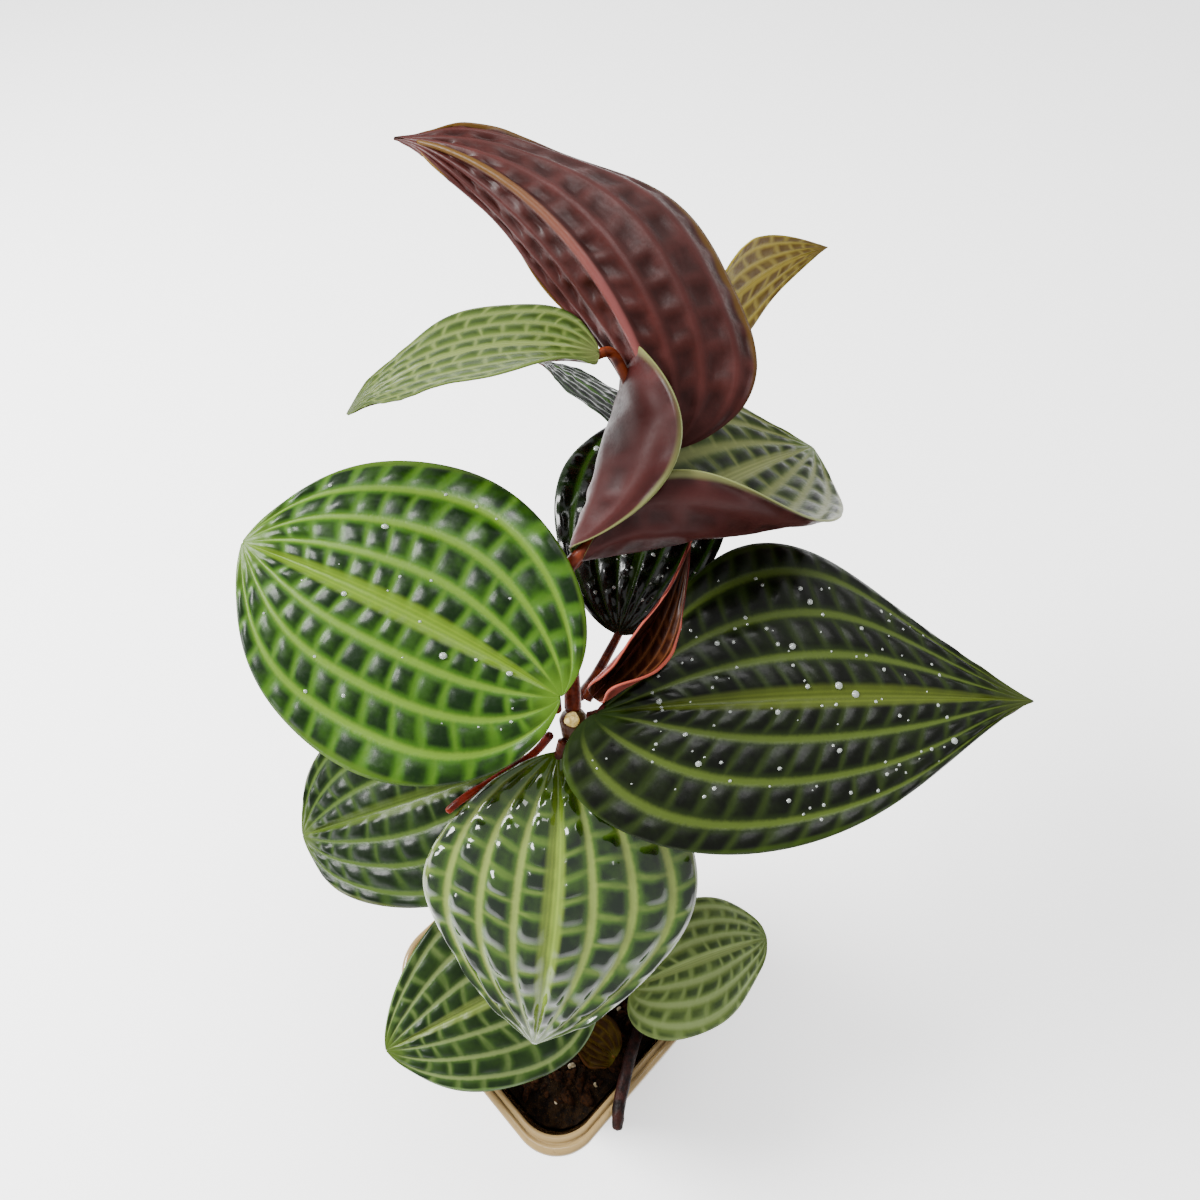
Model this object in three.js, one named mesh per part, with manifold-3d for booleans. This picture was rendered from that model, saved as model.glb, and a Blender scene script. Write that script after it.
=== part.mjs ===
// Potted seersucker plant: a leafy foliage plant in a small square nursery pot.
// Millimetres, +Z up. The origin is the middle of the pot's underside, the pot's sides lie along X and Y.

import * as THREE from 'three';
import { mergeVertices } from 'three/addons/utils/BufferGeometryUtils.js';
import Module from 'manifold-3d';

const wasm = await Module();
wasm.setup();

// ---- driving dimensions -------------------------------------------------------------------------

const GAP = 0.3; // clearance between two pieces that touch

const POT = {
  height: 65,
  rimSide: 70, // outside width across the rolled rim
  bodyTopSide: 66,
  bodyBottomSide: 49,
  wall: 1.6,
  floor: 2,
  cornerRadius: 12,
  rimDepth: 5,
  rimRound: 1.1,
};

const DRAIN = { radius: 3.5, offset: 14 }; // four holes, each this far from both centre lines

const SOIL = { top: 56, domeRadius: 24, domeRise: 2.5 };

const STEM = {
  lowerRadius: 2.5,
  upperRadius: 1.5,
  knotRadius: 3.2,
  lower: [[10, 1, 42], [9, 5, 66], [2, 11, 92], [-9, 19, 124], [-20, 27, 153]],
  upper: [
    [-20, 27, 153], [-26, 32.6, 157.5], [-32, 38, 164.5],
    [-36.2, 41.8, 173.5], [-36, 46.4, 177], [-34.8, 55, 180.2],
  ],
  knots: [[-20, 27, 153], [-7.6, 18, 120], [2, 11, 92]],
};

const OLD_STALK = {
  radius: 1.7,
  route: [[20, 13, 58.8], [23.6, 9.3, 61.5], [28.3, -1.1, 67.8], [34.1, -11.6, 68.4], [38.2, -16.9, 66.6]],
};

const RED_STALK = {
  radius: 1,
  route: [[-21.5, 22, 147.5], [-22.5, 16.5, 143], [-25, 7, 140.5], [-27, 0, 139], [-28, -4.5, 137]],
};

const SHEATH = { radius: 1.4, route: [[-17, 24.4, 156.2], [-16.6, 23.4, 158.6], [-16.2, 21.6, 160.6]] };

const LEAF = {
  thickness: 0.9,
  petioleRadius: 1.2,
  petioleReach: 0.08, // share of the blade's length that the leaf stalk runs into it
  lengthSteps: 12,
  widthSteps: 8,
  firstStation: 0.03,
  lastStation: 0.975,
};

const DEAD_LEAF = {
  base: [26, -5, 59.6], length: 24, halfWidth: 8, heading: 190, swing: 20, pitch: 6, arch: -14,
  roll: 8, twist: 20, keel: 14, cup: [30, 60], lobe: 0.05, belly: [1.3, 1.3, 0.5], reach: [0.45, 0.8],
  skew: 0, slew: 0,
};

// Each leaf: where its blade starts, its length and half width, the way it heads (degrees from +X),
// its pitch above level, how heading, pitch and roll change along it, how its cross-section bends,
// and the five-point margin curve. `petiole` runs from the stem to the blade.
const LEAVES = {
  left_leaf: {
    color: 0x3f7f2c, roughness: 0.45, base: [-19.3, 23.5, 164.4], length: 78, halfWidth: 33.5, heading: 197,
    swing: 5, pitch: 14, arch: -15, roll: -29, twist: 8, keel: 0, cup: [6, -26], lobe: 0.11,
    belly: [0.8, 1.65, 0.77], reach: [0.58, 0.94], skew: -0.08, slew: 0,
    petiole: [[-21.6, 23.8, 155.4]],
  },
  right_leaf: {
    color: 0x33471f, roughness: 0.35, base: [-15, 28, 157], length: 107, halfWidth: 36, heading: 54,
    swing: -4, pitch: -3, arch: -14, roll: 23, twist: -20, keel: 0, cup: [2, -26], lobe: 0.11,
    belly: [0.26, 2.2, 0.39], reach: [0.45, 0.67], skew: 0.95, slew: 0.18,
    petiole: [[-16.2, 27.8, 153.8]],
  },
  front_leaf: {
    color: 0x3c6a2a, roughness: 0.2, base: [-18, 20, 146], length: 70, halfWidth: 30, heading: 319,
    swing: -23, pitch: -12, arch: -55, roll: 4, twist: -12, keel: 0, cup: [-23, -26], lobe: 0,
    belly: [0.8, 1.65, 0.81], reach: [0.49, 0.67], skew: -0.25, slew: -0.03,
    petiole: [[-18, 22.2, 148.8]],
  },
  lower_left_leaf: {
    color: 0x3d5c2c, roughness: 0.5, base: [-28, 15, 131], length: 62, halfWidth: 26, heading: 240,
    swing: -15, pitch: -13, arch: -23, roll: -21, twist: -6, keel: 0, cup: [-8, -2], lobe: 0.16,
    belly: [1.24, 1.21, 0.89], reach: [0.5, 0.95], skew: 0.03, slew: -0.02,
    petiole: [[-11.8, 18.4, 121.6], [-19, 18, 128]],
  },
  bottom_left_leaf: {
    color: 0x47733a, roughness: 0.5, base: [6, 5, 92], length: 55, halfWidth: 24, heading: 254,
    swing: -9, pitch: 2, arch: -21, roll: -23, twist: -5, keel: 0, cup: [-11, -5], lobe: 0.07,
    belly: [1.5, 1.23, 0.62], reach: [0.51, 0.93], skew: 0.25, slew: 0.05,
    petiole: [[3.6, 7.4, 90]],
  },
  bottom_right_leaf: {
    color: 0x6b8560, roughness: 0.65, base: [19, 8, 78], length: 46, halfWidth: 17, heading: 69,
    swing: -3, pitch: -7, arch: -28, roll: 23, twist: -1, keel: 0, cup: [1, -26], lobe: 0.3,
    belly: [0.8, 1.65, 0.67], reach: [0.52, 0.96], skew: 0.07, slew: -0.07,
    petiole: [[11.6, 6.6, 70.6], [15, 7, 75.4]],
  },
  rear_leaf: {
    color: 0x203a1c, roughness: 0.2, base: [-28.6, 49.9, 148.8], length: 71, halfWidth: 21, heading: 117,
    swing: 8, pitch: 25, arch: -31, roll: -10, twist: 12, keel: 0, cup: [7, 8], lobe: 0,
    belly: [0.8, 1.65, 0.9], reach: [0.62, 0.72], skew: 0.01, slew: 0.16,
    petiole: [[-22, 30.4, 151.4], [-25, 39, 147.6]],
  },
  young_leaf: {
    color: 0x5a2b33, roughness: 0.45, base: [-17.6, 30.6, 157.6], length: 40, halfWidth: 15.4, heading: 85,
    swing: 25, pitch: 21, arch: 20, roll: 22, twist: 25, keel: 57, cup: [67, -20], lobe: -0.06,
    belly: [1.8, 0.85, 0.2], reach: [0.22, 0.67], skew: 0.25, slew: 0,
    petiole: [[-18.6, 29.6, 156.4]],
  },
  top_leaf: {
    color: 0x5c2c2a, roughness: 0.5, base: [-34, 70, 191], length: 94, halfWidth: 26, heading: 163,
    swing: 34, pitch: 58, arch: -68, roll: 131, twist: 17, keel: 25, cup: [37, 50], lobe: 0.01,
    belly: [0.95, 1.42, 0.2], reach: [0.62, 0.78], skew: -0.6, slew: 0.37,
    petiole: [[-34.4, 57.6, 182.4], [-35.4, 64, 186]],
  },
  small_left_leaf: {
    color: 0x7f9c66, roughness: 0.5, base: [-50.7, 65.7, 208.8], length: 55, halfWidth: 17.4, heading: 221,
    swing: 20, pitch: 14, arch: -53, roll: 20, twist: -12, keel: 0, cup: [30, -7], lobe: 0,
    belly: [1.8, 0.85, 0.66], reach: [0.59, 0.72], skew: -0.25, slew: -0.2,
    petiole: [[-37.4, 57, 181.4], [-41.8, 67.6, 194.2], [-50.5, 70.1, 205.5]],
  },
  narrow_rear_leaf: {
    color: 0x77743a, roughness: 0.5, base: [-53, 101, 192], length: 45, halfWidth: 10, heading: 104,
    swing: -34, pitch: 12, arch: -15, roll: 79, twist: -5, keel: 0, cup: [40, -18], lobe: 0.06,
    belly: [1.73, 1.47, 0.45], reach: [0.42, 0.75], skew: -0.15, slew: 0.06,
    petiole: [[-33, 57.6, 180.2], [-37, 73, 184], [-45, 89, 188.5]],
  },
  shaded_leaf: {
    color: 0x1d2a1a, roughness: 0.5, base: [-53.3, 82.2, 175.8], length: 41, halfWidth: 13, heading: 183,
    swing: -15, pitch: 11, arch: -35, roll: 25, twist: 2, keel: 0, cup: [-4, -2], lobe: 0.15,
    belly: [0.89, 0.88, 0.35], reach: [0.38, 0.81], skew: 0.1, slew: -0.16,
    petiole: [[-38.2, 44.6, 170.4], [-44, 60, 167], [-51, 76, 172]],
  },
};

// One leaf is still rolled into a funnel round the shoot: its two basal lobes lap over each other.
const FUNNEL = {
  color: 0x6e3a45, roughness: 0.5, base: [-36.5, 42.5, 175.5], length: 89, halfWidth: 35.5, heading: 82,
  pitch: 20, spin: 9, halfAngle: 32, bend: 31, conePart: 42, spiral: 0.35, apexSetback: 3.2, lobe: 0.39,
  belly: [1.68, 1.4, 0.54], reach: [0.45, 0.85], skew: -0.15, slew: 0,
};

const COLORS = {
  pot: 0xb59678,
  soil: 0x3a271c,
  stem: 0x4c2a24,
  old: 0x33211f,
  red: 0x9a3526,
  dry: 0xd9c07a,
  dead: 0x8a5a24,
};

// ---- solids -------------------------------------------------------------------------------------

/** A closed three.js geometry as a solid that can be joined and cut. */
function solid(geometry) {
  const bare = geometry.clone();
  bare.deleteAttribute('normal');
  bare.deleteAttribute('uv');
  const merged = mergeVertices(bare, 1e-4);
  return new wasm.Manifold(new wasm.Mesh({
    numProp: 3,
    vertProperties: new Float32Array(merged.attributes.position.array),
    triVerts: new Uint32Array(merged.index.array),
  }));
}

/** A solid back as a three.js geometry. */
function geometryOf(body) {
  const mesh = body.getMesh();
  const geometry = new THREE.BufferGeometry();
  geometry.setAttribute('position', new THREE.BufferAttribute(new Float32Array(mesh.vertProperties), 3));
  geometry.setIndex(Array.from(mesh.triVerts));
  geometry.computeVertexNormals();
  return geometry;
}

/** Moves every vertex of a geometry: `place` gets and changes a Vector3. */
function deform(geometry, place) {
  const position = geometry.attributes.position;
  const point = new THREE.Vector3();
  for (let i = 0; i < position.count; i += 1) {
    point.fromBufferAttribute(position, i);
    place(point);
    position.setXYZ(i, point.x, point.y, point.z);
  }
  return geometry;
}

function vectors(points) {
  return points.map(([x, y, z]) => new THREE.Vector3(x, y, z));
}

/** A round rod along a smooth route. */
function rod(route, radius, steps = 10, sides = 8) {
  const section = new THREE.Shape(new THREE.EllipseCurve(0, 0, radius, radius).getPoints(sides).slice(0, -1));
  return solid(new THREE.ExtrudeGeometry(section, {
    steps,
    bevelEnabled: false,
    extrudePath: new THREE.CatmullRomCurve3(vectors(route)),
  }));
}

/** A square outline with round corners, centred on the origin. */
function roundedSquare(side, radius) {
  const half = side / 2;
  const shape = new THREE.Shape();
  shape.moveTo(half, half - radius);
  shape.absarc(half - radius, half - radius, radius, 0, Math.PI / 2);
  shape.absarc(radius - half, half - radius, radius, Math.PI / 2, Math.PI);
  shape.absarc(radius - half, radius - half, radius, Math.PI, 1.5 * Math.PI);
  shape.absarc(half - radius, radius - half, radius, 1.5 * Math.PI, 2 * Math.PI);
  return shape;
}

/** A tapered block of rounded square section, from height z0 to z1. */
function taperedBlock(bottomSide, topSide, z0, z1) {
  const depth = z1 - z0;
  const block = new THREE.ExtrudeGeometry(roundedSquare(topSide, POT.cornerRadius), {
    depth, bevelEnabled: false, curveSegments: 6,
  });
  return solid(deform(block, (p) => {
    const side = THREE.MathUtils.lerp(bottomSide, topSide, p.z / depth);
    p.set(p.x * side / topSide, p.y * side / topSide, p.z + z0);
  }));
}

// ---- pot and soil -------------------------------------------------------------------------------

/** Outside width of the pot's wall at height z. */
function wallSide(z) {
  return THREE.MathUtils.lerp(POT.bodyBottomSide, POT.bodyTopSide, z / POT.height);
}

function insideBlock(z0, z1, clearance) {
  const inset = 2 * (POT.wall + clearance);
  return taperedBlock(wallSide(z0) - inset, wallSide(z1) - inset, z0, z1);
}

function potSolid() {
  const rim = new THREE.ExtrudeGeometry(roundedSquare(POT.rimSide - 2 * POT.rimRound, POT.cornerRadius), {
    depth: POT.rimDepth - 2 * POT.rimRound,
    bevelThickness: POT.rimRound,
    bevelSize: POT.rimRound,
    bevelSegments: 2,
    curveSegments: 6,
  });
  rim.translate(0, 0, POT.height - POT.rimDepth + POT.rimRound);
  const bodyTop = POT.height - POT.rimDepth / 2;
  const body = taperedBlock(POT.bodyBottomSide, wallSide(bodyTop), 0, bodyTop);
  let pot = body.add(solid(rim)).subtract(insideBlock(POT.floor, POT.height + 1, 0));
  for (const [sx, sy] of [[1, 1], [1, -1], [-1, 1], [-1, -1]]) {
    const hole = new THREE.CylinderGeometry(DRAIN.radius, DRAIN.radius, 3 * POT.floor, 12);
    hole.rotateX(Math.PI / 2);
    hole.translate(sx * DRAIN.offset, sy * DRAIN.offset, POT.floor / 2);
    pot = pot.subtract(solid(hole));
  }
  return pot;
}

function soilSolid() {
  const dome = new THREE.SphereGeometry(SOIL.domeRadius, 16, 8);
  dome.scale(1, 1, SOIL.domeRise / SOIL.domeRadius);
  dome.translate(0, 0, SOIL.top);
  const block = insideBlock(POT.floor + GAP, SOIL.top, GAP);
  const stemHole = rod(STEM.lower, STEM.lowerRadius + GAP, 14).add(ball(STEM.lower[0], STEM.lowerRadius + GAP));
  return block.add(solid(dome)).subtract(stemHole);
}

// ---- stems --------------------------------------------------------------------------------------

function ball(centre, radius) {
  const sphere = new THREE.SphereGeometry(radius, 10, 6);
  sphere.translate(...centre);
  return solid(sphere);
}

function mainStem() {
  let stem = rod(STEM.lower, STEM.lowerRadius, 14).add(rod(STEM.upper, STEM.upperRadius, 10));
  for (const knot of STEM.knots) {
    stem = stem.add(ball(knot, STEM.knotRadius));
  }
  return stem;
}

// ---- leaves -------------------------------------------------------------------------------------

/** Point of the flat blade: `along` runs base to tip, `across` from -1 (right margin) to 1 (left). */
function flatBlade(leaf, along, across) {
  const a = Math.abs(across);
  const u = 1 - along;
  const b1 = 4 * u ** 3 * along;
  const b2 = 6 * u * u * along * along;
  const b3 = 4 * u * along ** 3;
  const lean = leaf.skew * across;
  const x = b1 * (0.25 * (1 - a) - leaf.lobe * (1 - 2 * lean) * a)
    + b2 * (0.5 * (1 - a) + leaf.reach[0] * a)
    + b3 * (0.75 * (1 - a) + leaf.reach[1] * a)
    + along ** 4;
  const y = (b1 * leaf.belly[0] * (1 - lean)
    + (b2 * leaf.belly[1] + b3 * leaf.belly[2]) * (1 + leaf.slew * across)) * across;
  return [x * leaf.length, y * leaf.halfWidth];
}

function bearing(heading, pitch) {
  return new THREE.Vector3(
    Math.cos(pitch) * Math.cos(heading), Math.cos(pitch) * Math.sin(heading), Math.sin(pitch),
  );
}

/** The midrib as a function: distance share s -> point, in small straight steps. */
function midrib(leaf) {
  const steps = 60;
  const points = [new THREE.Vector3(...leaf.base)];
  for (let i = 0; i < steps; i += 1) {
    const s = (i + 0.5) / steps;
    const way = bearing(
      THREE.MathUtils.degToRad(leaf.heading + leaf.swing * s),
      THREE.MathUtils.degToRad(leaf.pitch + leaf.arch * s),
    );
    points.push(points[i].clone().addScaledVector(way, leaf.length / steps));
  }
  return (s) => {
    const place = THREE.MathUtils.clamp(s, 0, 1) * steps;
    const i = Math.min(steps - 1, Math.floor(place));
    return points[i].clone().lerp(points[i + 1], place - i);
  };
}

/** Point of the bent blade, `lift` above its middle surface. */
function bentBlade(leaf, ribAt, along, across, lift) {
  const [x, y] = flatBlade(leaf, along, across);
  const s = x / leaf.length;
  const held = THREE.MathUtils.clamp(s, 0, 1);
  const heading = THREE.MathUtils.degToRad(leaf.heading + leaf.swing * held);
  const way = bearing(heading, THREE.MathUtils.degToRad(leaf.pitch + leaf.arch * held));
  const level = new THREE.Vector3(-Math.sin(heading), Math.cos(heading), 0);
  const up = new THREE.Vector3().crossVectors(way, level);
  const roll = THREE.MathUtils.degToRad(leaf.roll + leaf.twist * held);
  const side = level.clone().multiplyScalar(Math.cos(roll)).addScaledVector(up, Math.sin(roll));
  const face = up.multiplyScalar(Math.cos(roll)).addScaledVector(level, -Math.sin(roll));
  const cup = THREE.MathUtils.degToRad(THREE.MathUtils.lerp(leaf.cup[0], leaf.cup[1], held)) || 1e-4;
  const curve = cup / leaf.halfWidth;
  const keel = THREE.MathUtils.degToRad(leaf.keel);
  const turned = keel + curve * Math.abs(y);
  const out = Math.sign(y) * ((Math.sin(turned) - Math.sin(keel)) / curve - lift * Math.sin(turned));
  const rise = (Math.cos(keel) - Math.cos(turned)) / curve + lift * Math.cos(turned);
  return ribAt(held)
    .addScaledVector(way, (s - held) * leaf.length)
    .addScaledVector(side, out)
    .addScaledVector(face, rise);
}

/** A closed thin blade: a flat box whose vertices are moved onto the leaf's surface. */
function bladeSolid(surface) {
  const box = new THREE.BoxGeometry(1, 2, LEAF.thickness, LEAF.lengthSteps, LEAF.widthSteps, 1);
  return solid(deform(box, (p) => {
    const along = THREE.MathUtils.lerp(LEAF.firstStation, LEAF.lastStation, p.x + 0.5);
    p.copy(surface(along, p.y, p.z));
  }));
}

function leafSolid(leaf) {
  const ribAt = midrib(leaf);
  const blade = bladeSolid((along, across, lift) => bentBlade(leaf, ribAt, along, across, lift));
  if (!leaf.petiole) {
    return blade;
  }
  const inBlade = ribAt(LEAF.petioleReach).toArray();
  return blade.add(rod([...leaf.petiole, leaf.base, inBlade], LEAF.petioleRadius, 6));
}

/** The blade rolled into a cone about its base, its far part bending back outwards. */
function funnelPoint(leaf, along, across, lift) {
  const [x, y] = flatBlade(leaf, along, across);
  const radius = Math.hypot(x + leaf.apexSetback, y);
  const half = THREE.MathUtils.degToRad(leaf.halfAngle);
  const turn = Math.atan2(y, x + leaf.apexSetback) / Math.sin(half);
  const heading = THREE.MathUtils.degToRad(leaf.heading);
  const axis = bearing(heading, THREE.MathUtils.degToRad(leaf.pitch));
  const level = new THREE.Vector3(-Math.sin(heading), Math.cos(heading), 0);
  const up = new THREE.Vector3().crossVectors(axis, level);
  const spin = THREE.MathUtils.degToRad(leaf.spin);
  const back = level.multiplyScalar(Math.sin(spin)).addScaledVector(up, -Math.cos(spin));
  const beside = new THREE.Vector3().crossVectors(axis, back);
  const outward = back.multiplyScalar(Math.cos(turn)).addScaledVector(beside, Math.sin(turn));
  const ray = axis.clone().multiplyScalar(Math.cos(half)).addScaledVector(outward, Math.sin(half));
  const inward = axis.clone().multiplyScalar(Math.sin(half)).addScaledVector(outward, -Math.cos(half));
  const curve = THREE.MathUtils.degToRad(leaf.bend) * Math.max(0, Math.cos(turn)) / leaf.length + 1e-6;
  const bent = curve * Math.max(0, radius - leaf.conePart);
  const reach = Math.min(radius, leaf.conePart) + Math.sin(bent) / curve + lift * Math.sin(bent);
  const rise = lift * Math.cos(bent) - (1 - Math.cos(bent)) / curve - leaf.spiral * turn;
  return new THREE.Vector3(...leaf.base).addScaledVector(ray, reach).addScaledVector(inward, rise);
}

function funnelSolid(leaf) {
  return bladeSolid((along, across, lift) => funnelPoint(leaf, along, across, lift));
}

// ---- assembly -----------------------------------------------------------------------------------

const plant = new THREE.Group();

function addPiece(name, body, color, roughness) {
  const mesh = new THREE.Mesh(
    geometryOf(body),
    new THREE.MeshStandardMaterial({ color, roughness, metalness: 0 }),
  );
  mesh.name = name;
  plant.add(mesh);
}

addPiece('pot', potSolid(), COLORS.pot, 0.25);
addPiece('soil', soilSolid(), COLORS.soil, 0.95);
addPiece('main_stem', mainStem(), COLORS.stem, 0.6);
addPiece('old_stalk', rod(OLD_STALK.route, OLD_STALK.radius), COLORS.old, 0.7);
addPiece('red_stalk', rod(RED_STALK.route, RED_STALK.radius), COLORS.red, 0.5);
addPiece('dry_sheath', rod(SHEATH.route, SHEATH.radius, 4), COLORS.dry, 0.8);
addPiece('dead_leaf', leafSolid(DEAD_LEAF), COLORS.dead, 0.8);
for (const [name, leaf] of Object.entries(LEAVES)) {
  addPiece(name, leafSolid(leaf), leaf.color, leaf.roughness);
}
addPiece('funnel_leaf', funnelSolid(FUNNEL), FUNNEL.color, FUNNEL.roughness);

export default plant;
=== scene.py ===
"""Looks of a potted seersucker plant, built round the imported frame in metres, +Z up."""

import logging
import math
import random
from dataclasses import dataclass, field
from enum import Enum

import bmesh
import bpy
import numpy as np
from mathutils import Matrix, Vector, noise


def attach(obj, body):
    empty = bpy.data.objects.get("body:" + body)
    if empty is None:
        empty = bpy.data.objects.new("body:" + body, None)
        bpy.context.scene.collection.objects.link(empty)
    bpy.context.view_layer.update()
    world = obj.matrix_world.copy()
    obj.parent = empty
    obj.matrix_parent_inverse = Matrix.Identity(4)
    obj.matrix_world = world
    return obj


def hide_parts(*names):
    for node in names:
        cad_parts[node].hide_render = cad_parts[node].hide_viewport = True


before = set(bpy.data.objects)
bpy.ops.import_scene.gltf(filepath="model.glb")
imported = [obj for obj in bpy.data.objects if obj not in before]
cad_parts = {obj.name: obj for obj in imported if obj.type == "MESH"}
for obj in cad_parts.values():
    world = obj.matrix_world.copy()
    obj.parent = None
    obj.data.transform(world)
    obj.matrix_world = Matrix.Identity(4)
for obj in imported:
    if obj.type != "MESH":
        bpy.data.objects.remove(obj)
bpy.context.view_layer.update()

MM = 0.001
log = logging.getLogger("potted_plant")

Tone = tuple[float, float, float]
Point = tuple[float, float, float]


def tone(red: int, green: int, blue: int) -> Tone:
    """Turns an everyday 0-255 colour into the linear colour a shader socket takes, a little deepened.

    Args:
        red: Red, 0 to 255.
        green: Green, 0 to 255.
        blue: Blue, 0 to 255.

    Returns:
        The linear red, green and blue, 0 to 1.
    """
    return tuple((value / 255) ** 2.9 for value in (red, green, blue))


class Gloss(Enum):
    """How wet or waxy a surface is: (roughness, clear coat, coat roughness)."""

    DRY = (0.75, 0.0, 0.5)
    DULL = (0.52, 0.0, 0.4)
    SATIN = (0.36, 0.03, 0.15)
    WAXY = (0.26, 0.5, 0.12)
    WET = (0.22, 0.8, 0.04)


@dataclass(frozen=True)
class LeafFinish:
    """Colours of one leaf: puckered cells, blade between them, veins, and the underside."""

    cell: Tone
    blade: Tone
    vein: Tone
    midrib: Tone
    under: Tone = tone(98, 52, 50)
    under_vein: Tone = tone(150, 96, 92)
    edge: Tone = tone(96, 104, 48)
    base_tint: Tone = tone(96, 122, 48)
    tip_tint: Tone = tone(96, 112, 52)
    gloss: Gloss = Gloss.SATIN
    rung_strength: float = 0.45
    vein_width: float = 0.1
    tint_reach: float = 0.12


@dataclass(frozen=True)
class PlainFinish:
    """A mottled finish for stems, soil and the pot: two tones, and the size and height of its grain."""

    low: Tone
    high: Tone
    gloss: Gloss = Gloss.DULL
    grain_mm: float = 3.0
    relief_mm: float = 0.05
    speck: Tone | None = None


@dataclass
class LeafForm:
    """Shape of one leaf blade in the part's frame. Lengths in mm, angles in degrees."""

    name: str
    base: Tone
    length: float
    half_width: float
    heading: float
    swing: float
    pitch: float
    arch: float
    roll: float
    twist: float
    cup: tuple[float, float]
    lobe: float
    belly: Tone
    reach: tuple[float, float]
    skew: float
    slew: float
    finish: LeafFinish
    slot: str
    keel: float = 0.0
    rungs: int = 12
    veins: float = 3.6
    pucker: float = 0.8
    ripple: float = 0.5
    stalk: list[Point] = field(default_factory=list)
    spin: float = 0.0
    half_angle: float = 0.0
    bend: float = 0.0
    cone_part: float = 0.0
    spiral: float = 0.0
    apex_setback: float = 0.0


def smooth(value: np.ndarray, low: float, high: float) -> np.ndarray:
    """Smooth step from 0 at `low` to 1 at `high`.

    Args:
        value: Numbers to map.
        low: Where the step starts.
        high: Where it ends.

    Returns:
        The step, 0 to 1.
    """
    share = np.clip((value - low) / (high - low), 0.0, 1.0)
    return share * share * (3.0 - 2.0 * share)


def pingpong(value: np.ndarray) -> np.ndarray:
    """Distance to the nearest whole number, 0 to 0.5.

    Args:
        value: Numbers to measure from.

    Returns:
        The distances.
    """
    return np.abs(value - np.round(value))


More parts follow.
